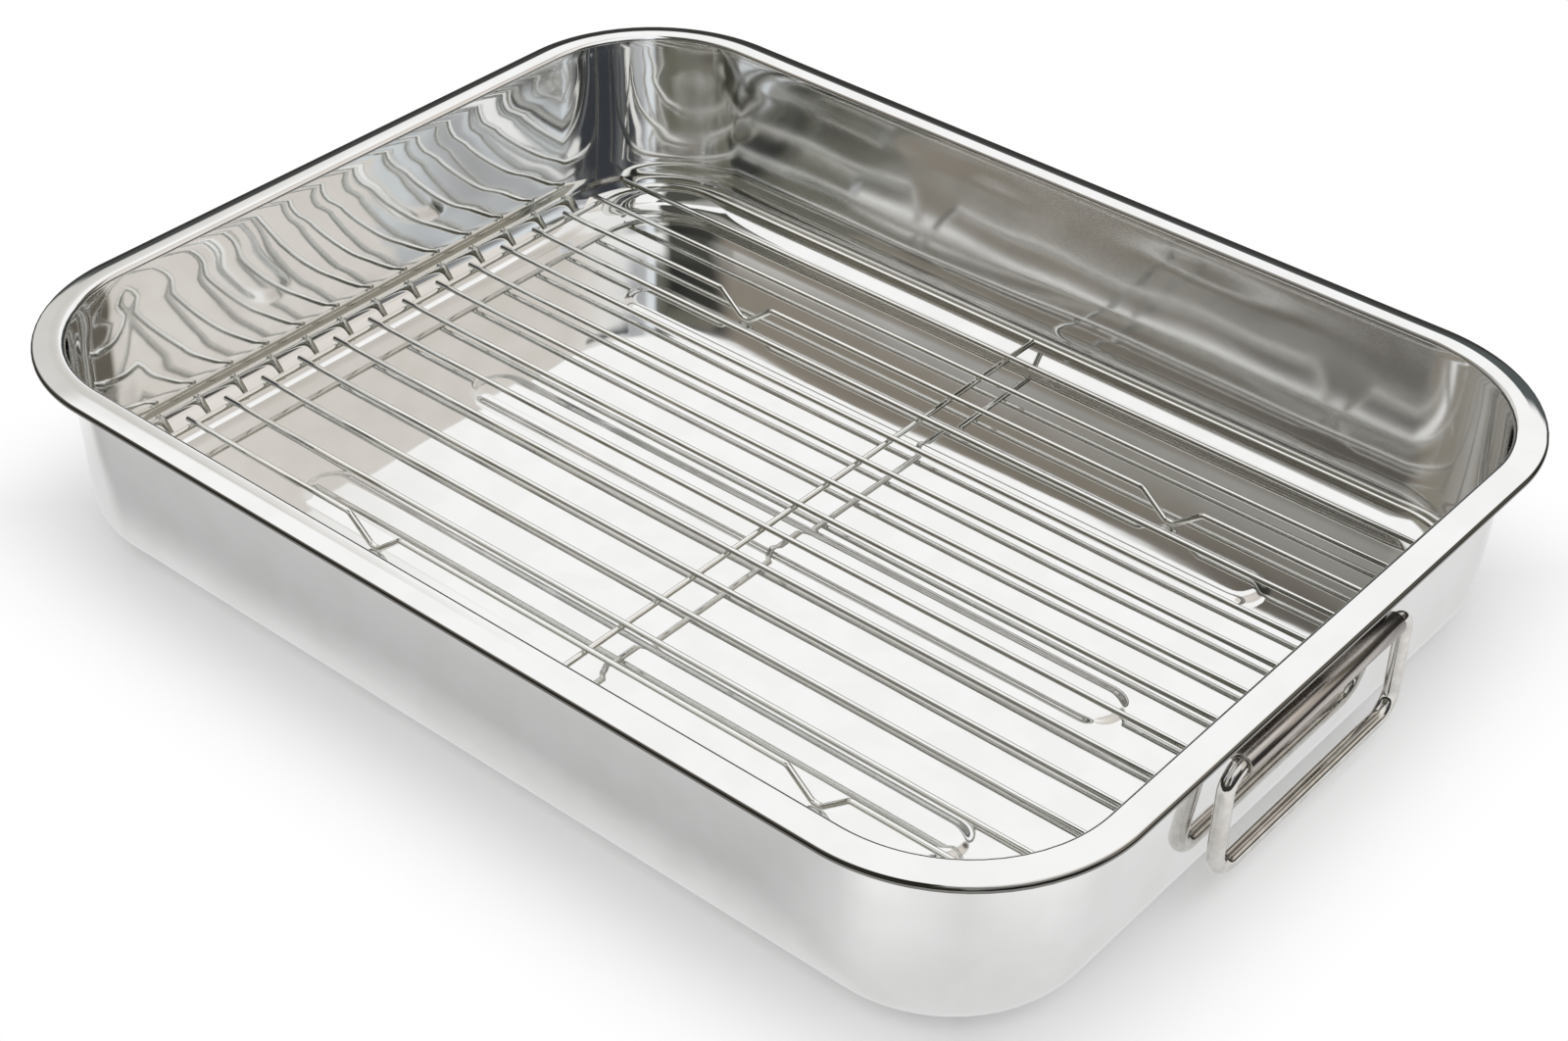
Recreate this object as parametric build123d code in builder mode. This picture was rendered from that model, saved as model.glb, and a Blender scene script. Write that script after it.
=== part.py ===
from build123d import *
import os
from math import cos, radians, tan

# Stainless steel roasting pan with two drop handles and a loose wire rack.
# X runs along the pan, Y across it and Z up. The origin is the middle of the underside.

# Pan stamping
pan_length = 400.0
pan_width = 315.0
pan_height = 67.0
sheet = 0.8
rim_corner_radius = 58.0
rim_width = 10.0            # outline of the rim to the middle of the wall's sheet
rim_fall = 0.6              # drop of the flange from the wall to the rolled edge
roll_radius = 1.3
roll_turn = 250.0           # degrees that the edge is rolled under
shoulder_radius = 1.6
wall_draft = 3.0            # degrees
base_radius = 14.0
base_lip = 2.0              # flat ring of the base that is drawn with the wall

# Stiffening ribs in the base, raised inside and hollow below
rib_count = 3
rib_length = 268.0
rib_width = 21.0
rib_height = 1.6
rib_foot_gap = 1.1          # between an outer rib and the feet of the rack
rib_slope = 40.0            # degrees that a rib's side leans in
rib_edge_radius = 1.0

# Wire rack
rack_end_gap = 10.0         # from the middle of the frame's end wire to the foot of the wall
rack_side_gap = 5.5         # the same at the frame's sides
rack_corner_radius = 28.0
frame_wire_diameter = 2.2
wire_diameter = 2.0
wire_count = 16
wire_overhang = 2.0         # wire end beyond the middle of the frame's end wire
weld_sink = 0.03            # how far a wire is pressed into the wire that it is welded to

# Feet, bent into the third wire from each side
foot_row = 3
foot_spacing = 180.0
foot_width = 23.0
foot_tip_width = 3.4
foot_depth = 8.2
foot_bend_radius = 3.0
foot_clearance = 0.3

# Drop handles
bail_width = 94.0           # between the middles of the legs
bail_drop = 36.0            # between the middles of the top and bottom bars
bail_diameter = 5.2
bail_knuckle_radius = 6.0
bail_corner_radius = 8.0
pivot_drop = 21.4           # below the top of the rim

# Handle brackets, a welded strip with its lower edge rolled into a sleeve
sleeve_end_gap = 0.5        # from the sleeve's end to the bend of the bail's knuckle
sleeve_sheet = 1.0
sleeve_clearance = 0.08     # running clearance round the bail
sleeve_slit = 1.5
bracket_rim_gap = 6.4       # from the top of the strip to the bend under the flange
curl_gap_share = 0.8        # gap from sleeve to wall, as a share of the strip's thickness

# Worked out from the values above
half_length = pan_length / 2
half_width = pan_width / 2
mid_sheet = sheet / 2
flange_height = pan_height - mid_sheet
draft_run = tan(radians(wall_draft))
frame_radius = frame_wire_diameter / 2
wire_radius = wire_diameter / 2
wire_height = sheet + foot_clearance + wire_radius + foot_depth
frame_height = wire_height - frame_radius - wire_radius + weld_sink
cross_bar_height = wire_height - 2 * wire_radius + weld_sink
bail_radius = bail_diameter / 2
sleeve_bore = bail_radius + sleeve_clearance
sleeve_radius = sleeve_bore + sleeve_sheet


def wall_middle(height):
    """Distance from the pan's middle to the middle of an end wall's sheet."""
    return half_length - rim_width - (flange_height - height) * draft_run


def wall_face(height):
    """Distance from the pan's middle to the outer face of an end wall."""
    return wall_middle(height) + mid_sheet / cos(radians(wall_draft))


def loop_points(reach_x, reach_y):
    """Corners of a rectangle that starts and ends in the middle of one side."""
    return (
        (reach_x, 0), (reach_x, reach_y), (-reach_x, reach_y),
        (-reach_x, -reach_y), (reach_x, -reach_y), (reach_x, 0),
    )


sleeve_length = bail_width - 2 * (bail_knuckle_radius + sleeve_end_gap)
pivot_height = pan_height - pivot_drop
pivot_reach = wall_face(pivot_height) + sleeve_radius + sleeve_sheet * curl_gap_share
strip_top = flange_height - shoulder_radius - bracket_rim_gap
wall_foot = wall_middle(mid_sheet)
base_bend = base_radius - mid_sheet
base_reach = wall_foot - base_bend - base_lip
base_inset = half_length - base_reach
roll_bend = roll_radius - mid_sheet
rim_slope = rim_fall / (rim_width - roll_radius)
rim_end = half_length - roll_radius + roll_bend * rim_slope
rib_inset = sheet * tan(radians(rib_slope) / 2)
frame_half_length = wall_foot - rack_end_gap
frame_half_width = wall_foot - half_length + half_width - rack_side_gap
wire_half_length = frame_half_length + wire_overhang
wire_pitch = 2 * frame_half_width / (wire_count + 1)
foot_reach = ((wire_count + 1) / 2 - foot_row) * wire_pitch
rib_pitch = foot_reach - wire_radius - rib_foot_gap - rib_width / 2

os.makedirs("parts", exist_ok=True)

# Pan: base, ribs, walls, flange and rolled edge are one piece of sheet
with BuildPart() as pan_body:
    with BuildLine(Plane.XY) as rim_path:
        FilletPolyline(*loop_points(half_length, half_width), radius=[0] + 4 * [rim_corner_radius])
    with BuildSketch(Plane.XZ) as wall_section:
        with BuildLine() as wall_line:
            drawn_wall = FilletPolyline(
                (base_reach, mid_sheet),
                (wall_foot, mid_sheet),
                (half_length - rim_width, flange_height),
                (rim_end, flange_height - rim_fall),
                radius=[base_bend, shoulder_radius],
            )
            JernArc(drawn_wall @ 1, drawn_wall % 1, roll_bend, -roll_turn)
        trace(line_width=sheet)
    sweep(sections=wall_section.sketch, path=rim_path.wires()[0])

    with BuildSketch(Plane.XY) as base_plate:
        RectangleRounded(2 * base_reach, 2 * (half_width - base_inset), rim_corner_radius - base_inset)
    extrude(amount=sheet)

    with BuildSketch(Plane.XY.offset(sheet)) as ribs:
        with GridLocations(rib_length, rib_pitch, 1, rib_count):
            SlotOverall(rib_length, rib_width)
    extrude(amount=rib_height, taper=rib_slope)
    fillet(pan_body.faces().filter_by_position(Axis.Z, sheet, sheet + rib_height)
           .filter_by(Axis.Z).group_by(Axis.Z)[-1].edges(), rib_edge_radius)
    with BuildSketch(Plane.XY) as rib_hollows:
        with GridLocations(rib_length, rib_pitch, 1, rib_count):
            SlotOverall(rib_length - 2 * rib_inset, rib_width - 2 * rib_inset)
    extrude(amount=rib_height, taper=rib_slope, mode=Mode.SUBTRACT)
pan_body.part.label = "pan_body"
export_step(pan_body.part, "parts/pan_body.step")

# Handles: a bracket welded under the rim at each end, and the bail that hangs in it
for side, end in ((1, "right"), (-1, "left")):
    pivot_x = side * pivot_reach
    with BuildPart() as handle_bracket:
        with BuildSketch(Plane.XZ) as strip:
            with BuildLine():
                Polyline(
                    (side * wall_face(pivot_height), pivot_height),
                    (side * wall_face(strip_top), strip_top),
                    (side * (wall_face(strip_top) + sleeve_sheet), strip_top),
                    (side * (wall_face(pivot_height) + sleeve_sheet), pivot_height),
                    close=True,
                )
            make_face()
            with Locations((pivot_x, pivot_height)):
                Circle(sleeve_radius)
                Circle(sleeve_bore, mode=Mode.SUBTRACT)
            with Locations((pivot_x - side * sleeve_radius, pivot_height)):
                Rectangle(2 * sleeve_slit, 2 * sleeve_radius, align=(Align.CENTER, Align.MAX),
                          mode=Mode.SUBTRACT)
        extrude(amount=sleeve_length / 2, both=True)
    handle_bracket.part.label = f"handle_bracket_{end}"
    export_step(handle_bracket.part, f"parts/handle_bracket_{end}.step")

    bail_plane = Plane(origin=(pivot_x, 0, pivot_height), x_dir=(0, 1, 0), z_dir=(1, 0, 0))
    with BuildPart() as handle_bail:
        with BuildLine(bail_plane) as bail_path:
            FilletPolyline(
                (0, 0), (bail_width / 2, 0), (bail_width / 2, -bail_drop),
                (-bail_width / 2, -bail_drop), (-bail_width / 2, 0), (0, 0),
                radius=[0, bail_knuckle_radius, bail_corner_radius, bail_corner_radius,
                        bail_knuckle_radius],
            )
        with BuildSketch(Plane(origin=(pivot_x, 0, pivot_height), z_dir=(0, 1, 0))):
            Circle(bail_radius)
        sweep(path=bail_path.wires()[0])
    handle_bail.part.label = f"handle_bail_{end}"
    export_step(handle_bail.part, f"parts/handle_bail_{end}.step")

# Rack: a closed frame wire, one cross bar level with it, and the long wires on top
with BuildPart() as rack_frame:
    with BuildLine(Plane.XY.offset(frame_height)) as frame_path:
        FilletPolyline(*loop_points(frame_half_length, frame_half_width),
                       radius=[0] + 4 * [rack_corner_radius])
    with BuildSketch(Plane(origin=(frame_half_length, 0, frame_height), z_dir=(0, 1, 0))):
        Circle(frame_radius)
    sweep(path=frame_path.wires()[0])
rack_frame.part.label = "rack_frame"
export_step(rack_frame.part, "parts/rack_frame.step")

with BuildPart() as rack_cross_bar:
    with BuildSketch(Plane(origin=(0, 0, cross_bar_height), z_dir=(0, 1, 0))):
        Circle(wire_radius)
    extrude(amount=frame_half_width, both=True)
    for edge in (-frame_half_width, frame_half_width):
        with BuildSketch(Plane(origin=(0, edge, frame_height), z_dir=(1, 0, 0))):
            Circle(frame_radius)
        extrude(amount=frame_wire_diameter, both=True, mode=Mode.SUBTRACT)
rack_cross_bar.part.label = "rack_cross_bar"
export_step(rack_cross_bar.part, "parts/rack_cross_bar.step")

foot_drops = []
for foot_x in (-foot_spacing / 2, foot_spacing / 2):
    foot_drops += [
        (foot_x - foot_width / 2, 0),
        (foot_x - foot_tip_width / 2, -foot_depth),
        (foot_x + foot_tip_width / 2, -foot_depth),
        (foot_x + foot_width / 2, 0),
    ]

plain_number = 0
for row in range(1, wire_count + 1):
    wire_y = ((wire_count + 1) / 2 - row) * wire_pitch
    wire_start = Plane(origin=(-wire_half_length, wire_y, wire_height), z_dir=(1, 0, 0))
    has_feet = row in (foot_row, wire_count + 1 - foot_row)
    with BuildPart() as rack_wire:
        if has_feet:
            wire_plane = Plane(origin=(0, wire_y, wire_height), x_dir=(1, 0, 0), z_dir=(0, -1, 0))
            with BuildLine(wire_plane) as foot_path:
                FilletPolyline((-wire_half_length, 0), *foot_drops, (wire_half_length, 0),
                               radius=foot_bend_radius)
            with BuildSketch(wire_start):
                Circle(wire_radius)
            sweep(path=foot_path.wires()[0])
        else:
            with BuildSketch(wire_start):
                Circle(wire_radius)
            extrude(amount=2 * wire_half_length)
    if has_feet:
        wire_name = "rack_foot_wire_back" if wire_y > 0 else "rack_foot_wire_front"
    else:
        plain_number += 1
        wire_name = f"rack_wire_{plain_number:02d}"
    rack_wire.part.label = wire_name
    export_step(rack_wire.part, f"parts/{wire_name}.step")
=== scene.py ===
import math
from collections import namedtuple

import bpy
import numpy as np
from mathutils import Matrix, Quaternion, Vector


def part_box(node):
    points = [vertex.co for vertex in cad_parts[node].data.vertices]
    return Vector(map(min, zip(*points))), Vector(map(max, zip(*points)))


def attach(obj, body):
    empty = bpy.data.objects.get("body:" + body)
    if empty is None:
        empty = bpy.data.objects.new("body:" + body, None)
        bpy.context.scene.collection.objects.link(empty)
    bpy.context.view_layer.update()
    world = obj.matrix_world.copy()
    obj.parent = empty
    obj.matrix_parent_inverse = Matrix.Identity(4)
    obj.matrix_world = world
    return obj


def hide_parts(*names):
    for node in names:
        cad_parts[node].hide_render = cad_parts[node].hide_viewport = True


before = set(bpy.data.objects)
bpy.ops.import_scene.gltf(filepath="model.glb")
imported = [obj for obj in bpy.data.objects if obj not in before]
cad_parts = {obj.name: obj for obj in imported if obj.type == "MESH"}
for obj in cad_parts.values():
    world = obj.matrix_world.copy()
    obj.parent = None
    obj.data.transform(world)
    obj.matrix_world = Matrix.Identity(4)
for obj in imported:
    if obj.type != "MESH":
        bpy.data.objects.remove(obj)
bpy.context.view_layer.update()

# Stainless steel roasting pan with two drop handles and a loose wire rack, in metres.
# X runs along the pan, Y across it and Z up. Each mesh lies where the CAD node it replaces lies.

MM = 0.001
Box = namedtuple("Box", "low high middle half")


def box_of(node):
    """Lowest corner, highest corner, middle and half size of a CAD node."""
    low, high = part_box(node)
    return Box(low, high, (low + high) / 2, (high - low) / 2)


# Pan, one sheet
HALF_LENGTH, HALF_WIDTH = box_of("pan_body").half.xy
SHEET = 0.8 * MM
FLANGE_HEIGHT = 67 * MM - SHEET / 2     # middle of the sheet
RIM_WIDTH = 10 * MM                     # outline of the rim to the middle of the wall's sheet
RIM_CORNER = 58 * MM
RIM_TILT = math.radians(1)              # inner half of the flange
RIM_EDGE_TILT = math.radians(12)        # outer half
RIM_BEND = 9 * MM
ROLL_RADIUS = 1.3 * MM
ROLL_TURN = math.radians(250)
SHOULDER = 1.6 * MM
WALL_DRAFT = math.radians(3)
BASE_RADIUS = 14 * MM
BASE_LIP = 2 * MM

# Steps along the pan's section: on its straight runs, on the bends between them and on the roll
SECTION_RUNS = [1, 22, 2, 2]
SECTION_BENDS = [16, 8, 4]
ROLL_STEPS = 18

# The drawn wall bows: height on the wall in mm, and how far its face leans back there in degrees
WALL_BOW = [
    (14, 0.0), (18, 4.5), (26, 3.0), (43, 0.0), (50, -1.3), (57, -3.5), (63, -4.8), (66, -5.0),
]
LEVEL = 0.001                           # a face that rises less has no way up, and no lean

# Ribs pressed up in the base
RIB_HALF_LENGTH = 134 * MM
RIB_HALF_WIDTH = 10.5 * MM
RIB_HEIGHT = 1.6 * MM
RIB_SIDE = 4.6 * MM
RIB_SOFTNESS = 0.45                     # 0 for a straight side, 1 for the roundest
RIB_FOOT_GAP = 1.1 * MM
RIB_INSET = 0.4 * SHEET                 # of the hollow below
FOOT_ROW = box_of("rack_foot_wire_back")
OUTER_RIB = FOOT_ROW.middle.y - FOOT_ROW.half.y - RIB_FOOT_GAP - RIB_HALF_WIDTH

# Flat grid of the base: lines stand close together near the ribs' sides
GRID_HALF_X, GRID_HALF_Y = 150 * MM, 104 * MM
GRID_COARSE_X, GRID_COARSE_Y = 4 * MM, 3.5 * MM
GRID_FINE = 0.7 * MM
GRID_MARGIN = 1 * MM
GRID_DIGITS = 7                         # rounding, so that a shared line counts once
BLEND_STEPS = 6                         # from the grid's border to the foot of the walls

# Slow unevenness of the sheet: height of the waves, and where they begin and are full
BASE_WAVE = 0.05 * MM
BASE_WAVE_FADE = 30 * MM
WALL_WAVES = 0.25 * MM, 0.10 * MM, 0.03 * MM
WALL_WAVE_FOOT = BASE_RADIUS + 2 * MM, BASE_RADIUS + 14 * MM
WALL_WAVE_TOP = FLANGE_HEIGHT - 5 * MM, FLANGE_HEIGHT - 13 * MM

# Handle bracket, a strip with its lower edge curled round the rod
CURL_SHEET = 1.0 * MM
CURL_CLEARANCE = 0.08 * MM
CURL_SLIT = 1.5 * MM
CURL_STEPS = 48
EDGE_BREAK = 0.15 * MM

# Handle rod
KNUCKLE_RADIUS = 6 * MM
BAIL_CORNER = 8 * MM
BAIL_RUN_STEPS, BAIL_BEND_STEPS = 8, 12
BAIL_SIDES = 40

# Rack
FRAME_CORNER = 28 * MM
FRAME_RUN_STEPS, FRAME_BEND_STEPS = 6, 14
FOOT_HALF_SPACING = 90 * MM
FOOT_WIDTH = 23 * MM
FOOT_TIP_WIDTH = 3.4 * MM
FOOT_BEND = 3 * MM
FOOT_RUN_STEPS = [4, 2, 1, 2, 6, 2, 1, 2, 4]
FOOT_BEND_STEPS = 8
BAR_POINTS, WIRE_POINTS = 5, 9
WIRE_SIDES = 24
WIRE_DOME = 0.25 * MM
DOME_DEPTHS = np.array([0, 0.35, 1])    # shares of the dome, from the end inward
DOME_SIZES = np.array([0.55, 0.86, 1])  # shares of the wire's radius there

# Camera, from the rim and wires of the photograph
CAMERA_PLACE = Vector((0.4507, -0.5572, 0.5419))
CAMERA_AZIMUTH = math.radians(38.813)
CAMERA_ELEVATION = math.radians(36.707)
CAMERA_ROLL = math.radians(1.849)
CAMERA_NEAR = 0.01
SENSOR_WIDTH = 36.0
CAMERA_LENS = 64.61
GLOSSY_BOUNCES = 8

# Floor, in metres. A pair of distances from the pan's box says where one look turns into another
FLOOR_DROP = 0.3 * MM
FLOOR_SIZE = 6.0
FLOOR_WHITE = (0.96, 0.96, 0.96)
SHADOW_ENDS = -0.03, 0.04

# The floor as steel reflects it: painted shadow near the pan, painted shade along the front, dark
# far off
FLOOR_PAINTED_SHADOW = 0.76
NEAR_ENDS = -0.01, 0.05
FLOOR_PAINTED_SHADE_AHEAD = 0.66
AHEAD_ENDS_Y = -0.166, -0.150           # places, not distances
AHEAD_ENDS_X = 0.09, 0.15
TABLE_ENDS = 0.15, 0.22

# The studio as steel reflects it: turns in degrees from +X towards +Y, each with its colour
HORIZON = (0.045, 0.043, 0.040)
WHITE = (1.05, 1.05, 1.05)
WINDOW = (0.90, 0.95, 1.0)
SLATE = (0.095, 0.11, 0.11)
NAVY = (0.045, 0.05, 0.06)
BEIGE = (0.84, 0.79, 0.74)
SAND = (0.66, 0.62, 0.575)
BROWN = (0.15, 0.135, 0.11)
DIM = (0.30, 0.282, 0.24)
CREAM = (0.95, 0.94, 0.92)
SHADE = (0.15, 0.14, 0.12)
SOOT = (0.08, 0.08, 0.07)
LOW_WALLS = [
    (0, NAVY), (18, (0.08, 0.08, 0.08)), (25, BEIGE), (33, BEIGE), (40, SAND), (54, SAND),
    (62, BROWN), (84, BROWN), (92, SLATE), (165, SLATE), (186, (0.38, 0.365, 0.34)),
    (210, (0.34, 0.32, 0.29)), (224, (0.17, 0.16, 0.135)), (238, SHADE), (250, SHADE),
    (262, (0.20, 0.19, 0.155)), (300, (0.16, 0.16, 0.125)), (311, (0.20, 0.20, 0.19)),
    (314, WINDOW), (319, WINDOW), (323, (0.45, 0.46, 0.48)), (328, (0.12, 0.125, 0.13)),
    (336, NAVY), (343, (0.17, 0.175, 0.18)), (350, NAVY), (360, NAVY),
]
HIGH_WALLS = [
    (0, CREAM), (28, (0.88, 0.84, 0.80)), (53, (0.80, 0.76, 0.71)), (59, BROWN), (79, BROWN),
    (87, WHITE), (137, WHITE), (148, (0.68, 0.66, 0.62)), (168, (0.75, 0.74, 0.72)),
    (186, (0.46, 0.45, 0.43)), (212, DIM), (230, (0.31, 0.275, 0.23)), (239, (0.24, 0.215, 0.18)),
    (247, (0.12, 0.11, 0.10)), (254, (0.045, 0.045, 0.04)), (296, (0.03, 0.03, 0.03)),
    (305, (0.15, 0.15, 0.12)), (311, (0.18, 0.18, 0.17)), (315, WINDOW), (320, WINDOW),
    (324, (0.55, 0.56, 0.58)), (334, (0.50, 0.51, 0.53)), (346, (0.9, 0.9, 0.9)), (360, CREAM),
]
TOP = [
    (0, WHITE), (30, WHITE), (46, BEIGE), (78, SAND), (88, WHITE), (219, WHITE),
    (225, (0.43, 0.425, 0.41)), (240, (0.36, 0.355, 0.33)), (256, SOOT), (296, SOOT),
    (306, WHITE), (360, WHITE),
]
# Where the studio's bands end, as the Z of a direction. The low walls end softly, and by turn
WALL_FOOT = 0.15, 0.25
WALL_EDGE = [
    (0, 0.50), (18, 0.50), (30, 0.34), (84, 0.34), (92, 0.36), (126, 0.36), (136, 0.235),
    (165, 0.235), (185, 0.34), (246, 0.34), (258, 0.50), (300, 0.50), (312, 0.34), (328, 0.34),
    (338, 0.50), (360, 0.50),
]
WALL_EDGE_SOFT = 0.0, 0.05
WALL_TOP = 0.64, 0.72
PLAIN_LIGHT = 1.05                      # of the white that all other rays see

# Steel
CLOUD_SCALE = 22.0
CLOUD_DETAIL, GRAIN_DETAIL = 3.0, 2.0
CLOUD_ENDS = 0.3, 0.7
STREAK_ENDS = 0.38, 0.62
LONG_WALL_FROM = 137 * MM, 143 * MM
LONG_WALL_BELOW = 65 * MM, 64 * MM
# Painted shade along the rolled edge: where it begins and is full, from the middles of the rim's
# round corners
PAINTED_EDGE_SHADE_ENDS = RIM_CORNER - 0.85 * MM, RIM_CORNER - 0.6 * MM
# Painted shade on a wire's sides: where it fades out towards the top and towards the underside
FLANK_SHADE_BELOW = 0.56, 0.46                # Z of the surface's direction
FLANK_SHADE_ABOVE = -0.35, -0.20


# Shader graphs

class Graph:
    """Short calls that add shader nodes to an emptied tree."""

    def __init__(self, tree):
        self.nodes, self.links = tree.nodes, tree.links
        self.nodes.clear()

    def add(self, kind, inputs=None, **settings):
        """A node whose inputs take values or the outputs of other nodes."""
        node = self.nodes.new(kind)
        for name, value in settings.items():
            setattr(node, name, value)
        for name, value in (inputs or {}).items():
            if isinstance(value, bpy.types.NodeSocket):
                self.links.new(value, node.inputs[name])
            else:
                node.inputs[name].default_value = value
        return node

    def math(self, operation, first, second=0.0):
        return self.add("ShaderNodeMath", {0: first, 1: second}, operation=operation).outputs[0]

    def vector(self, operation, first, second=(0, 0, 0)):
        return self.add("ShaderNodeVectorMath", {0: first, 1: second}, operation=operation).outputs

    def split(self, vector):
        return self.add("ShaderNodeSeparateXYZ", {0: vector}).outputs

    def step(self, value, ends, at_first=0.0, at_last=1.0):
        """A soft step from at_first to at_last while the value goes from one end to the other."""
        return self.add("ShaderNodeMapRange", {
            "Value": value, "From Min": ends[0], "From Max": ends[1],
            "To Min": at_first, "To Max": at_last,
        }, interpolation_type="SMOOTHSTEP").outputs["Result"]

    def mix(self, share, first, second):
        """The first colour where the share is 0, the second where it is 1."""
        first, second = (
            colour if isinstance(colour, bpy.types.NodeSocket) else (*colour, 1)
            for colour in (first, second)
        )
        return self.add("ShaderNodeMix", {"Factor": share, "A": first, "B": second},
                        data_type="RGBA").outputs["Result"]

    def ramp(self, turn, stops):
        """Colours along a turn from 0 to 1, from stops in degrees."""
        node = self.add("ShaderNodeValToRGB", {"Fac": turn})
        elements = node.color_ramp.elements
        while len(elements) < len(stops):
            elements.new(1.0)
        for element, (degrees, colour) in zip(elements, stops):
            element.position = degrees / 360
            element.color = (*colour, 1)
        return node.outputs["Color"]

    def noise(self, vector, scale, detail):
        return self.add("ShaderNodeTexNoise", {
            "Vector": vector, "Scale": scale, "Detail": detail,
        }).outputs["Fac"]

    def glossy_or(self, plain, glossy):
        """One shader for glossy rays and a plain one for all others."""
        rays = self.add("ShaderNodeLightPath").outputs
        return self.add("ShaderNodeMixShader", {
            0: rays["Is Glossy Ray"], 1: plain.outputs[0], 2: glossy.outputs[0],
        }).outputs[0]


# Materials

def on_long_walls(graph, place):
    """1 on the pan's two long walls below the flange."""
    axes = graph.split(place)
    aside = graph.step(graph.math("ABSOLUTE", axes["Y"]), LONG_WALL_FROM)
    return graph.math("MULTIPLY", aside, graph.step(axes["Z"], LONG_WALL_BELOW))


def painted_shade_on_rolled_edge(graph, place):
    """Mask of painted shade: 1 on the pan's outermost line, by the distance from the middles of its
    round corners.
    """
    reach = graph.vector("ABSOLUTE", place)[0]
    middles = (HALF_LENGTH - RIM_CORNER, HALF_WIDTH - RIM_CORNER, 1)
    past = graph.vector("MAXIMUM", graph.vector("SUBTRACT", reach, middles)[0])[0]
    return graph.step(graph.vector("LENGTH", past)["Value"], PAINTED_EDGE_SHADE_ENDS)


def painted_shade_on_flanks(graph):
    """Mask of painted shade: 1 on the sides of a wire, between its top and its underside."""
    facing = graph.split(graph.add("ShaderNodeTexCoord").outputs["Normal"])["Z"]
    return graph.math("MULTIPLY", graph.step(facing, FLANK_SHADE_BELOW), graph.step(facing, FLANK_SHADE_ABOVE))


def steel(name, colour, dull, roughness, spread, bump_scale, bump_height,
          grain=(1, 1, 1), long_wall=None, edge=None, painted_flank_shade=None):
    """Polished steel: clouds in the gloss, and a fine grain with streaks of a duller colour.

    long_wall adds to the roughness of the pan's long walls. edge and flank are colours of painted
    shade: a dark band along the pan's rolled edge, and darker sides on a wire.
    """
    material = bpy.data.materials.new(name)
    material.use_nodes = True
    graph = Graph(material.node_tree)
    place = graph.add("ShaderNodeTexCoord").outputs["Object"]
    clouds = graph.noise(place, CLOUD_SCALE, CLOUD_DETAIL)
    gloss = graph.step(clouds, CLOUD_ENDS, roughness, roughness + spread)
    if long_wall:
        rougher = graph.math("MULTIPLY", on_long_walls(graph, place), long_wall)
        gloss = graph.math("ADD", gloss, rougher)
    stretched = graph.add("ShaderNodeMapping", {"Vector": place, "Scale": grain}).outputs["Vector"]
    fine = graph.noise(stretched, bump_scale, GRAIN_DETAIL)
    streaks_and_painted_shade = graph.mix(graph.step(fine, STREAK_ENDS), dull, colour)
    # Painted shade: a dark band along the pan's rolled edge
    if edge:
        streaks_and_painted_shade = graph.mix(painted_shade_on_rolled_edge(graph, place), streaks_and_painted_shade, edge)
    # Painted shade: darker sides on the wires
    if painted_flank_shade:
        streaks_and_painted_shade = graph.mix(painted_shade_on_flanks(graph), streaks_and_painted_shade, painted_flank_shade)
    bump = graph.add("ShaderNodeBump", {"Height": fine, "Strength": 1.0, "Distance": bump_height})
    shader = graph.add("ShaderNodeBsdfPrincipled", {
        "Metallic": 1.0, "Base Color": streaks_and_painted_shade, "Roughness": gloss, "Normal": bump.outputs["Normal"],
    })
    graph.add("ShaderNodeOutputMaterial", {"Surface": shader.outputs[0]})
    return material


# The edge colour is painted shade: a dark band along the pan's rolled edge
PAN_STEEL = steel("pan_steel", (0.87, 0.87, 0.865), (0.845, 0.845, 0.835), 0.03, 0.03,
                  60, 0.015 * MM, long_wall=0.045, edge=(0.20, 0.195, 0.18))
BRACKET_STEEL = steel("bracket_steel", (0.56, 0.525, 0.49), (0.37, 0.34, 0.315), 0.19, 0.04,
                      420, 0.001 * MM, grain=(1, 0.003, 1))
HANDLE_STEEL = steel("handle_steel", (0.70, 0.68, 0.65), (0.62, 0.60, 0.57), 0.03, 0.04,
                     260, 0.004 * MM)
# The flank colour is painted shade: darker sides on the wires
RACK_STEEL = steel("rack_steel", (0.87, 0.87, 0.85), (0.84, 0.84, 0.815), 0.03, 0.03,
                   260, 0.003 * MM, painted_flank_shade=(0.40, 0.39, 0.34))


# Meshes

def add_piece(name, points, faces, material, body, node):
    """A smooth mesh that stands for one CAD node and rides on its body."""
    mesh = bpy.data.meshes.new(name)
    mesh.from_pydata(points, [], faces)
    mesh.materials.append(material)
    mesh.polygons.foreach_set("use_smooth", [True] * len(mesh.polygons))
    mesh.update()
    piece = bpy.data.objects.new(name, mesh)
    bpy.context.scene.collection.objects.link(piece)
    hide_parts(node)
    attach(piece, body)
    return piece


def quads(a, b, c, d, turned=False):
    """Faces on four equal fields of point numbers, turned over if asked."""
    return np.stack([d, c, b, a] if turned else [a, b, c, d], -1).reshape(-1, 4).tolist()


def belt(row, after, turned=False):
    """Faces between two closed rows of point numbers."""
    return quads(row, np.roll(row, -1), np.roll(after, -1), after, turned)


def unit(vectors):
    return vectors / np.linalg.norm(vectors, axis=-1, keepdims=True)


def turn_left(vector, angle):
    """A flat vector, turned."""
    c, s = math.cos(angle), math.sin(angle)
    return np.array([c * vector[0] - s * vector[1], s * vector[0] + c * vector[1]])


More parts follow.
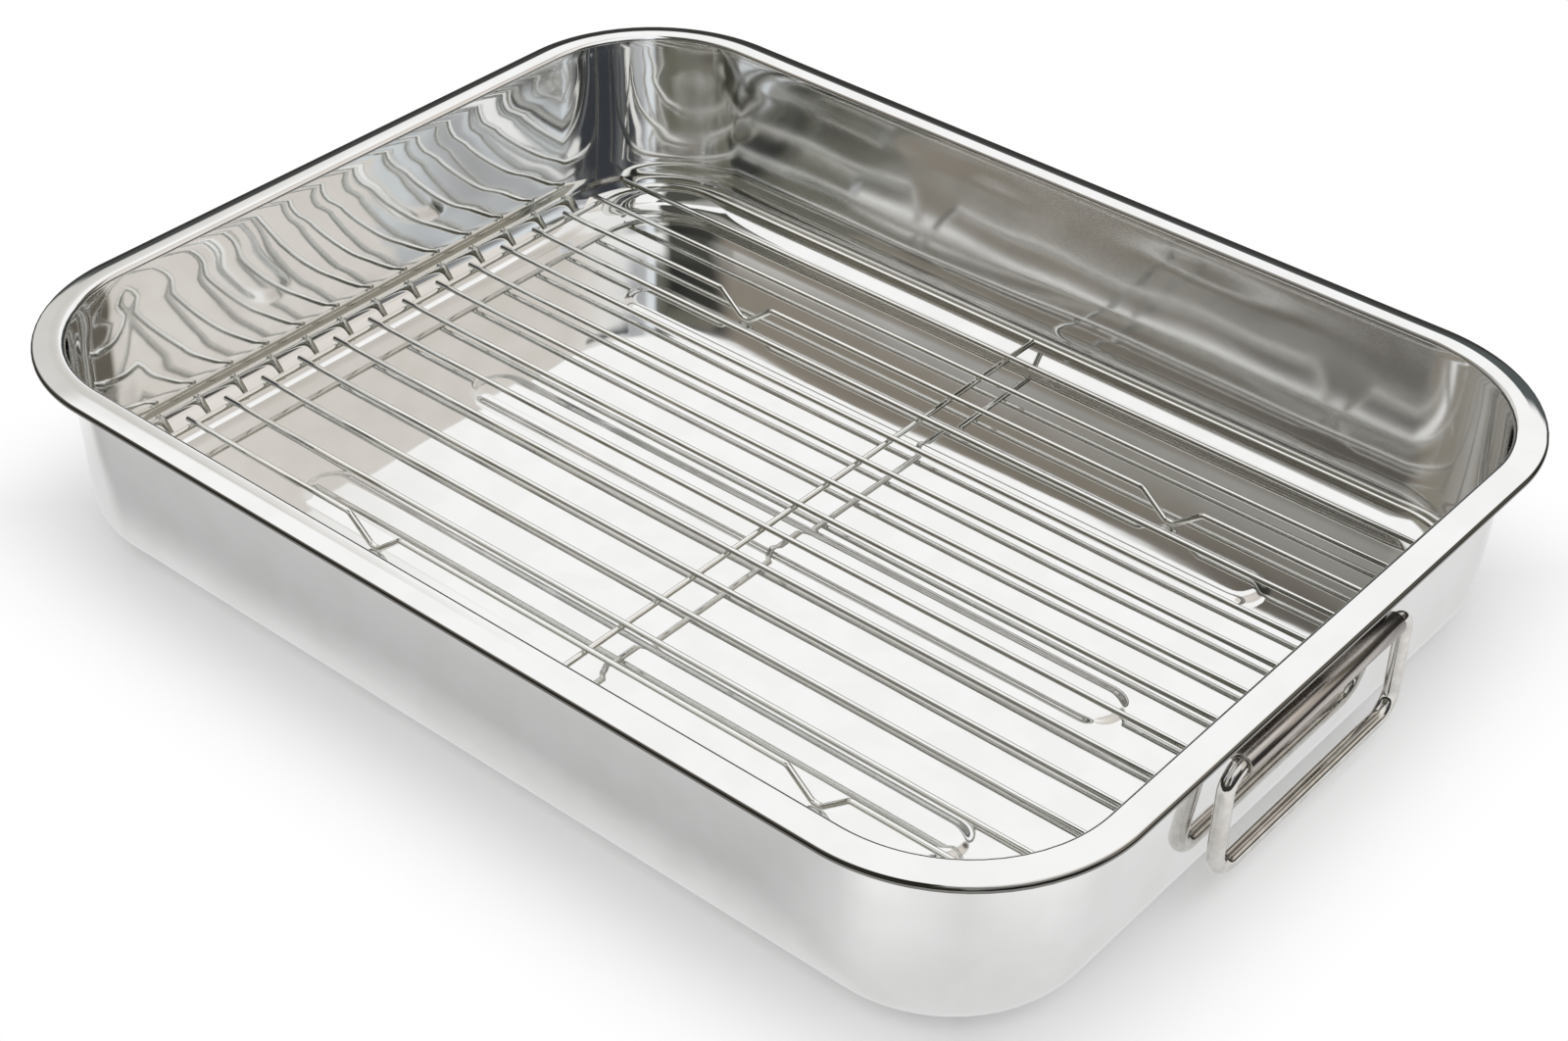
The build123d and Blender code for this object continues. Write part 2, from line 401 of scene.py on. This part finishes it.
def rounded_line(corners, radii, run_steps, bend_steps):
    """Points and left-hand normals along a flat line of straight runs joined by arcs."""
    corners = np.array(corners, float)
    headings = unit(np.diff(corners, axis=0))
    start = corners[0]
    points, normals = [], []
    for i, heading in enumerate(headings):
        normal = np.array([-heading[1], heading[0]])
        end = corners[i + 1]
        bends = i < len(radii)
        if bends:
            after = headings[i + 1]
            turn = math.atan2(heading[0] * after[1] - heading[1] * after[0], heading @ after)
            end = end - heading * radii[i] * math.tan(abs(turn) / 2)
        shares = np.linspace(0, 1, run_steps[i] + 1)
        for t in shares[1:] if points else shares:
            points.append(start + (end - start) * t)
            normals.append(normal)
        if bends:
            inward = normal * math.copysign(radii[i], turn)
            for angle in np.linspace(0, turn, bend_steps[i] + 1)[1:]:
                points.append(end + inward - turn_left(inward, angle))
                normals.append(turn_left(normal, angle))
            start = points[-1]
    return np.array(points), np.array(normals)


def closed_loop(half_u, top, bottom, top_radius, bottom_radius, run, bend):
    """Flat closed path: a rectangle with rounded corners that starts in the middle of its top."""
    corners = [(0, top), (half_u, top), (half_u, bottom),
               (-half_u, bottom), (-half_u, top), (0, top)]
    radii = [top_radius, bottom_radius, bottom_radius, top_radius]
    points, _ = rounded_line(corners, radii, [run] * 5, [bend] * 4)
    return points[:-1]


def skin_over(rows, closed=False, turned=False):
    """Points and faces over rows of points: closed on itself, or with a flat face at each end."""
    rows = np.array(rows)
    numbers = np.arange(rows.shape[0] * rows.shape[1]).reshape(rows.shape[:2])
    faces = []
    for row, after in zip(numbers, numbers[1:]):
        faces += belt(row, after)
    if closed:
        faces += belt(numbers[-1], numbers[0])
    else:
        faces += [numbers[0, ::-1].tolist(), numbers[-1].tolist()]
    if turned:
        faces = [face[::-1] for face in faces]
    return rows.reshape(-1, 3).tolist(), faces


def tube(path, radius, sides, closed=False):
    """Points and faces of a round rod along a path: closed on itself, or with softly domed ends."""
    path = np.array(path, float)
    heading = np.roll(path, -1, 0) - np.roll(path, 1, 0)
    if not closed:
        heading[0], heading[-1] = path[1] - path[0], path[-1] - path[-2]
    heading = unit(heading)
    flat = np.eye(3)[np.argmin(np.ptp(path, axis=0))]
    side_way = unit(np.cross(heading, flat))
    up_way = np.cross(side_way, heading)
    sizes = np.full(len(path), radius)
    if not closed:
        depths = DOME_DEPTHS[:, None] * WIRE_DOME
        path = np.vstack([path[0] + heading[0] * depths, path[1:-1],
                          path[-1] - heading[-1] * depths[::-1]])
        sizes = np.concatenate([DOME_SIZES * radius, sizes[1:-1], DOME_SIZES[::-1] * radius])
        added = len(DOME_SIZES) - 1
        side_way, up_way = (np.pad(way, ((added, added), (0, 0)), "edge")
                            for way in (side_way, up_way))
    angles = np.arange(sides)[:, None] * 2 * math.pi / sides
    circles = side_way[:, None] * np.cos(angles) + up_way[:, None] * np.sin(angles)
    return skin_over(path[:, None] + circles * sizes[:, None, None], closed)


# Pan

def section_line():
    """Middle of the pan's sheet from the base outward, as reach and height, and its upward side."""
    wall_top = HALF_LENGTH - RIM_WIDTH
    wall_foot = wall_top - (FLANGE_HEIGHT - SHEET / 2) * math.tan(WALL_DRAFT)
    bend, roll = BASE_RADIUS - SHEET / 2, ROLL_RADIUS - SHEET / 2
    half_flange = (RIM_WIDTH - ROLL_RADIUS) / 2
    middle_height = FLANGE_HEIGHT - half_flange * math.tan(RIM_TILT)
    corners = [
        (wall_foot - bend - BASE_LIP, SHEET / 2),
        (wall_foot, SHEET / 2),
        (wall_top, FLANGE_HEIGHT),
        (wall_top + half_flange, middle_height),
        (HALF_LENGTH - ROLL_RADIUS + roll * math.sin(RIM_EDGE_TILT),
         middle_height - half_flange * math.tan(RIM_EDGE_TILT)),
    ]
    points, normals = rounded_line(corners, [bend, SHOULDER, RIM_BEND], SECTION_RUNS, SECTION_BENDS)
    angles = np.linspace(0, -ROLL_TURN, ROLL_STEPS + 1)[1:]
    rolled = np.array([turn_left(normals[-1], angle) for angle in angles])
    centre = points[-1] - normals[-1] * roll
    return np.vstack([points, centre + rolled * roll]), np.vstack([normals, rolled])


def grid_lines(half, fine_bands, coarse):
    """Places of grid lines from -half to half, close together in the given bands."""
    places = set()
    ends = sorted({0.0, half, *(end for band in fine_bands for end in band)})
    for low, high in zip(ends, ends[1:]):
        in_band = any(first < (low + high) / 2 < last for first, last in fine_bands)
        count = max(1, round((high - low) / (GRID_FINE if in_band else coarse)))
        places.update(round(place, GRID_DIGITS) for place in np.linspace(low, high, count + 1))
    return np.array(sorted({-place for place in places} | places))


def rib_rise(x, y, inset):
    """Height of the ribs over the flat of the base."""
    rise = np.zeros_like(x)
    along = np.maximum(np.abs(x) - (RIB_HALF_LENGTH - RIB_HALF_WIDTH), 0)
    for row in (0.0, OUTER_RIB):
        depth = RIB_HALF_WIDTH - inset - np.hypot(along, np.abs(y) - row)
        t = np.clip(depth / RIB_SIDE, 0, 1)
        soft = RIB_SOFTNESS * np.sin(2 * math.pi * t) / (2 * math.pi)
        rise = np.maximum(rise, RIB_HEIGHT * (t - soft))
    return rise


def fade(value, nothing, full):
    return np.clip((value - nothing) / (full - nothing), 0, 1)


def wave(main, length, other, other_length, swing, offset=0.0):
    """A wave along one direction whose crests swing to and fro along the other."""
    return np.sin(main / length + swing * np.sin(other / other_length) + offset)


def base_wave(x, y):
    """Slow unevenness of the pressed base."""
    waves = wave(x, 23 * MM, y, 31 * MM, 1.3) + wave(y, 17 * MM, x, 29 * MM, 1.1, 0.8)
    weight = (fade(np.abs(x), GRID_HALF_X, GRID_HALF_X - BASE_WAVE_FADE)
              * fade(np.abs(y), GRID_HALF_Y, GRID_HALF_Y - BASE_WAVE_FADE))
    return BASE_WAVE * waves * weight


def wall_wave(along, height):
    """Slow unevenness of the drawn walls, along the wall and up it."""
    broad, slanting, fine = WALL_WAVES
    waves = (
        broad * wave(along, 55 * MM, height, 30 * MM, 0.8)
        + slanting * np.sin(along / (21 * MM) + height / (24 * MM) + 0.7)
        + fine * wave(along, 9 * MM, height, 16 * MM, 1.6)
    )
    return waves * fade(height, *WALL_WAVE_FOOT) * fade(height, *WALL_WAVE_TOP)


def pan_ring(inset, shares):
    """Points and outward normals round the pan, the inset within its outline.

    A share from -1 to 1 leads along a side, from the middle of one corner to that of the next.
    """
    half_x, half_y, corner = HALF_LENGTH - inset, HALF_WIDTH - inset, RIM_CORNER - inset
    points, normals = [], []
    for side in range(4):
        across = side % 2
        along, out = (half_y, half_x) if across else (half_x, half_y)
        straight = along - corner
        travel = shares[across][:-1] * (straight + corner * math.pi / 4)
        angle = np.clip(np.abs(travel) - straight, 0, None) / corner
        round_corner = angle > 0
        sign = np.sign(travel)
        u = np.where(round_corner, sign * (straight + corner * np.sin(angle)), travel)
        v = np.where(round_corner, out - corner + corner * np.cos(angle), out)
        nu = np.where(round_corner, sign * np.sin(angle), 0)
        nv = np.where(round_corner, np.cos(angle), 1)
        c, s = math.cos(side * math.pi / 2), math.sin(side * math.pi / 2)
        points.append(np.stack([c * u + s * v, s * u - c * v], 1))
        normals.append(np.stack([c * nu + s * nv, s * nu - c * nv], 1))
    return np.vstack(points), np.vstack(normals)


def border(field):
    """The outermost entries of a field, once round in the order of pan_ring."""
    return np.concatenate([field[:-1, 0], field[-1, :-1], field[:0:-1, -1], field[0, :0:-1]])


class Skin:
    """A mesh that grows row by row, with a lean of the normals for each point."""

    def __init__(self):
        self.points, self.leans, self.faces = [], [], []

    def add(self, points, lean=0.0):
        """Takes points in and returns their numbers."""
        start = len(self.points)
        self.points += points.tolist()
        self.leans += [lean] * len(points)
        return np.arange(start, len(self.points))

    def go_on(self, row, points, turned, lean=0.0):
        """Adds a closed row of points and the faces between it and the row before."""
        after = self.add(points, lean)
        self.faces += belt(row, after, turned)
        return after


def pan_skin():
    """The whole stamping as one closed skin: inner face, rolled edge, outer face."""
    rib_edge = RIB_HALF_WIDTH + GRID_MARGIN
    bands_x = [(RIB_HALF_LENGTH - 2 * RIB_HALF_WIDTH, RIB_HALF_LENGTH + GRID_MARGIN)]
    bands_y = [(0.0, rib_edge), (OUTER_RIB - rib_edge, OUTER_RIB + rib_edge)]
    xs = grid_lines(GRID_HALF_X, bands_x, GRID_COARSE_X)
    ys = grid_lines(GRID_HALF_Y, bands_y, GRID_COARSE_Y)
    shares = xs / GRID_HALF_X, ys / GRID_HALF_Y
    grid_x, grid_y = np.meshgrid(xs, ys, indexing="ij")
    section, rises = section_line()

    # Way round the wall to each point of a row
    wall, _ = pan_ring(RIM_WIDTH, shares)
    along = np.concatenate([[0], np.cumsum(np.linalg.norm(np.diff(wall, axis=0), axis=1))])

    skin = Skin()
    last_rows = []
    for inside in (True, False):
        base, to_face = (SHEET, SHEET / 2) if inside else (0.0, -SHEET / 2)
        height = base + rib_rise(grid_x, grid_y, 0.0 if inside else RIB_INSET)
        if inside:
            height = height + base_wave(grid_x, grid_y)
        grid = np.stack([grid_x, grid_y, height], 2)
        numbers = skin.add(grid.reshape(-1, 3)).reshape(grid_x.shape)
        skin.faces += quads(numbers[:-1, :-1], numbers[1:, :-1], numbers[1:, 1:], numbers[:-1, 1:],
                            turned=not inside)

        row, rim = border(numbers), border(grid)
        plan, _ = pan_ring(HALF_LENGTH - section[0][0], shares)
        foot = np.column_stack([plan, np.full(len(plan), base)])
        for t in np.linspace(0, 1, BLEND_STEPS + 1)[1:-1]:
            row = skin.go_on(row, rim * (1 - t) + foot * t, inside)

        for (reach, level), (rise_out, rise_up) in zip(section, rises):
            plan, out = pan_ring(HALF_LENGTH - reach, shares)
            shift = to_face + wall_wave(along, level)
            points = np.column_stack([plan + out * (rise_out * shift)[:, None],
                                      level + rise_up * shift])
            on_wall = inside and reach <= HALF_LENGTH - RIM_WIDTH
            lean = np.interp(level / MM, *zip(*WALL_BOW)) if on_wall else 0.0
            row = skin.go_on(row, points, inside, lean)
        last_rows.append(row)
    skin.faces += belt(*last_rows, turned=True)
    return skin


def bow(mesh, leans):
    """Leans the normals of a mesh up by the given degrees, and keeps its surface where it is."""
    normals = np.zeros(3 * len(leans), np.float32)
    mesh.vertex_normals.foreach_get("vector", normals)
    normals = normals.reshape(-1, 3)
    upward = np.array([0, 0, 1]) - normals * normals[:, 2:]
    length = np.maximum(np.linalg.norm(upward, axis=1), LEVEL)[:, None]
    normals = unit(normals + upward / length * np.tan(np.radians(leans))[:, None])
    mesh.normals_split_custom_set_from_vertices(normals.tolist())


def build_pan():
    skin = pan_skin()
    shell = add_piece("pan_shell", skin.points, skin.faces, PAN_STEEL,
                      "pan", "pan_body")
    bow(shell.data, skin.leans)


# Rack

def rack_path(node, box, radius):
    """The middle line of one wire of the rack."""
    low, high, middle, half = box
    if node == "rack_frame":
        reach_x, reach_y = half.x - radius, half.y - radius
        flat = closed_loop(reach_y, reach_x, -reach_x, FRAME_CORNER, FRAME_CORNER,
                           FRAME_RUN_STEPS, FRAME_BEND_STEPS)
        return [(x, y, middle.z) for y, x in flat]
    if node == "rack_cross_bar":
        return [(middle.x, y, middle.z) for y in np.linspace(low.y, high.y, BAR_POINTS)]
    if "foot" in node:
        top, tip = high.z - radius, low.z + radius
        corners = [(low.x, top)]
        for x in (-FOOT_HALF_SPACING, FOOT_HALF_SPACING):
            corners += [(x - FOOT_WIDTH / 2, top), (x - FOOT_TIP_WIDTH / 2, tip),
                        (x + FOOT_TIP_WIDTH / 2, tip), (x + FOOT_WIDTH / 2, top)]
        corners.append((high.x, top))
        bends = len(corners) - 2
        flat, _ = rounded_line(corners, [FOOT_BEND] * bends, FOOT_RUN_STEPS,
                               [FOOT_BEND_STEPS] * bends)
        return [(x, middle.y, z) for x, z in flat]
    return [(x, middle.y, middle.z) for x in np.linspace(low.x, high.x, WIRE_POINTS)]


def build_rack():
    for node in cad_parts:
        if node.startswith("rack_"):
            box = box_of(node)
            radius = box.half.y if "foot" in node else box.half.z
            path = rack_path(node, box, radius)
            points, faces = tube(path, radius, WIRE_SIDES, closed=node == "rack_frame")
            add_piece(node.replace("rack_", "rack_rod_"), points, faces, RACK_STEEL,
                      "rack", node)


# Handles

def bracket_outline(bracket, pivot_x, pivot_z, rod):
    """Section of the right-hand bracket: the strip on the wall and the curl round the rod."""
    inner = rod + CURL_CLEARANCE
    outer = inner + CURL_SHEET
    top = bracket.high.z
    wall_low = min(abs(bracket.low.x), abs(bracket.high.x))
    wall_high = wall_low + (top - pivot_z) * math.tan(WALL_DRAFT)
    strip = wall_low + CURL_SHEET - pivot_x
    start = math.atan2(math.sqrt(outer ** 2 - strip ** 2), strip)
    outer_slit, inner_slit = (math.acos((outer - CURL_SLIT) / radius) - math.pi
                              for radius in (outer, inner))
    outline = [(wall_low, pivot_z), (wall_high, top), (wall_high + CURL_SHEET, top)]
    for radius, first, last in ((outer, start, outer_slit), (inner, inner_slit, math.pi)):
        for angle in np.linspace(first, last, CURL_STEPS + 1):
            outline.append((pivot_x + radius * math.cos(angle), pivot_z + radius * math.sin(angle)))
    return np.array(outline)


def bracket_mesh(outline, half, side):
    """The outline drawn out along Y, its end edges broken. The side is 1 at the right, else -1."""
    edge = unit(np.roll(outline, -1, 0) - np.roll(outline, 1, 0))
    inward = np.column_stack([edge[:, 1], -edge[:, 0]])
    stations = [(-half, EDGE_BREAK), (EDGE_BREAK - half, 0.0), (0.0, 0.0),
                (half - EDGE_BREAK, 0.0), (half, EDGE_BREAK)]
    rows = []
    for y, trim in stations:
        x, z = (outline + inward * trim).T
        rows.append(np.column_stack([side * x, np.full(len(x), y), z]))
    return skin_over(rows, turned=side < 0)


def build_handles():
    for end, side in (("right", 1), ("left", -1)):
        low, high, middle, half = box_of(f"handle_bail_{end}")
        rod = half.x
        pivot_z = high.z - rod
        flat = closed_loop(half.y - rod, pivot_z, low.z + rod, KNUCKLE_RADIUS, BAIL_CORNER,
                           BAIL_RUN_STEPS, BAIL_BEND_STEPS)
        points, faces = tube([(middle.x, y, z) for y, z in flat], rod, BAIL_SIDES, closed=True)
        add_piece(f"handle_rod_{end}", points, faces, HANDLE_STEEL,
                  f"handle_{end}", f"handle_bail_{end}")

        bracket = box_of(f"handle_bracket_{end}")
        outline = bracket_outline(bracket, abs(middle.x), pivot_z, rod)
        points, faces = bracket_mesh(outline, bracket.half.y, side)
        add_piece(f"handle_sleeve_{end}", points, faces, BRACKET_STEEL,
                  "pan", f"handle_bracket_{end}")


# Surroundings

def build_floor():
    """A floor that shows the pan's shadow and is plain white beyond it.

    Steel reflects it as a table: a painted shadow near the pan, painted shade in front of it, and
    gone a little way off.
    """
    mesh = bpy.data.meshes.new("floor")
    h = FLOOR_SIZE / 2
    z = -FLOOR_DROP
    mesh.from_pydata([(-h, -h, z), (h, -h, z), (h, h, z), (-h, h, z)], [], [(0, 1, 2, 3)])
    floor = bpy.data.objects.new("floor", mesh)
    bpy.context.scene.collection.objects.link(floor)
    material = bpy.data.materials.new("floor_white")
    material.use_nodes = True
    graph = Graph(material.node_tree)
    place = graph.add("ShaderNodeTexCoord").outputs["Object"]
    reach = graph.vector("ABSOLUTE", place)[0]
    beyond = graph.split(graph.vector("SUBTRACT", reach, (HALF_LENGTH, HALF_WIDTH, 0))[0])
    distance = graph.math("MAXIMUM", beyond["X"], beyond["Y"])

    sides = graph.split(place)
    # Painted shadow near the pan and painted shade in front of it, seen only in reflections
    ahead = graph.math("MAXIMUM", graph.step(sides["Y"], AHEAD_ENDS_Y, FLOOR_PAINTED_SHADE_AHEAD, 1.0),
                       graph.step(sides["X"], AHEAD_ENDS_X, FLOOR_PAINTED_SHADE_AHEAD, 1.0))
    shade = graph.math("MULTIPLY", graph.step(distance, NEAR_ENDS, FLOOR_PAINTED_SHADOW, 1.0), ahead)
    table = graph.add("ShaderNodeCombineColor", {0: shade, 1: shade, 2: shade}).outputs[0]
    seen = graph.mix(graph.step(distance, TABLE_ENDS), table, HORIZON)
    reflected = graph.add("ShaderNodeEmission", {"Color": seen})

    shadowed = graph.add("ShaderNodeBsdfDiffuse", {"Color": (*FLOOR_WHITE, 1)})
    white = graph.add("ShaderNodeEmission", {"Color": (1, 1, 1, 1)})
    to_camera = graph.add("ShaderNodeLightPath").outputs["Is Camera Ray"]
    open_floor = graph.math("MULTIPLY", graph.step(distance, SHADOW_ENDS), to_camera)
    plain = graph.add("ShaderNodeMixShader", {
        0: open_floor, 1: shadowed.outputs[0], 2: white.outputs[0],
    })
    graph.add("ShaderNodeOutputMaterial", {"Surface": graph.glossy_or(plain, reflected)})
    mesh.materials.append(material)


def build_world():
    """Even white light, and for glossy rays a studio: bands of colour round and above the pan."""
    world = bpy.data.worlds.new("studio")
    bpy.context.scene.world = world
    world.use_nodes = True
    graph = Graph(world.node_tree)
    x, y, z = graph.split(graph.add("ShaderNodeTexCoord").outputs["Generated"])
    angle = graph.math("MULTIPLY", graph.math("ARCTAN2", y, x), 1 / (2 * math.pi))
    turn = graph.math("FRACT", angle)
    edge = graph.ramp(turn, [(degrees, (height,) * 3) for degrees, height in WALL_EDGE])
    over = graph.math("SUBTRACT", z, edge)
    walls = graph.mix(graph.step(over, WALL_EDGE_SOFT),
                      graph.ramp(turn, LOW_WALLS), graph.ramp(turn, HIGH_WALLS))
    room = graph.mix(graph.step(z, WALL_FOOT), HORIZON, walls)
    studio = graph.mix(graph.step(z, WALL_TOP), room, graph.ramp(turn, TOP))
    glossy = graph.add("ShaderNodeBackground", {"Color": studio, "Strength": 1.0})
    plain = graph.add("ShaderNodeBackground", {"Color": (1, 1, 1, 1), "Strength": PLAIN_LIGHT})
    graph.add("ShaderNodeOutputWorld", {"Surface": graph.glossy_or(plain, glossy)})


def build_camera():
    data = bpy.data.cameras.new("camera")
    data.sensor_width = SENSOR_WIDTH
    data.lens = CAMERA_LENS
    data.clip_start = CAMERA_NEAR
    camera = bpy.data.objects.new("camera", data)
    bpy.context.scene.collection.objects.link(camera)
    level = math.cos(CAMERA_ELEVATION)
    look = Vector((-math.sin(CAMERA_AZIMUTH) * level, math.cos(CAMERA_AZIMUTH) * level,
                   -math.sin(CAMERA_ELEVATION)))
    camera.location = CAMERA_PLACE
    camera.rotation_mode = "QUATERNION"
    camera.rotation_quaternion = look.to_track_quat("-Z", "Y") @ Quaternion((0, 0, 1), CAMERA_ROLL)
    bpy.context.scene.camera = camera


build_camera()
build_pan()
build_rack()
build_handles()
build_floor()
build_world()
bpy.context.scene.view_settings.view_transform = "Standard"
bpy.context.scene.cycles.glossy_bounces = GLOSSY_BOUNCES
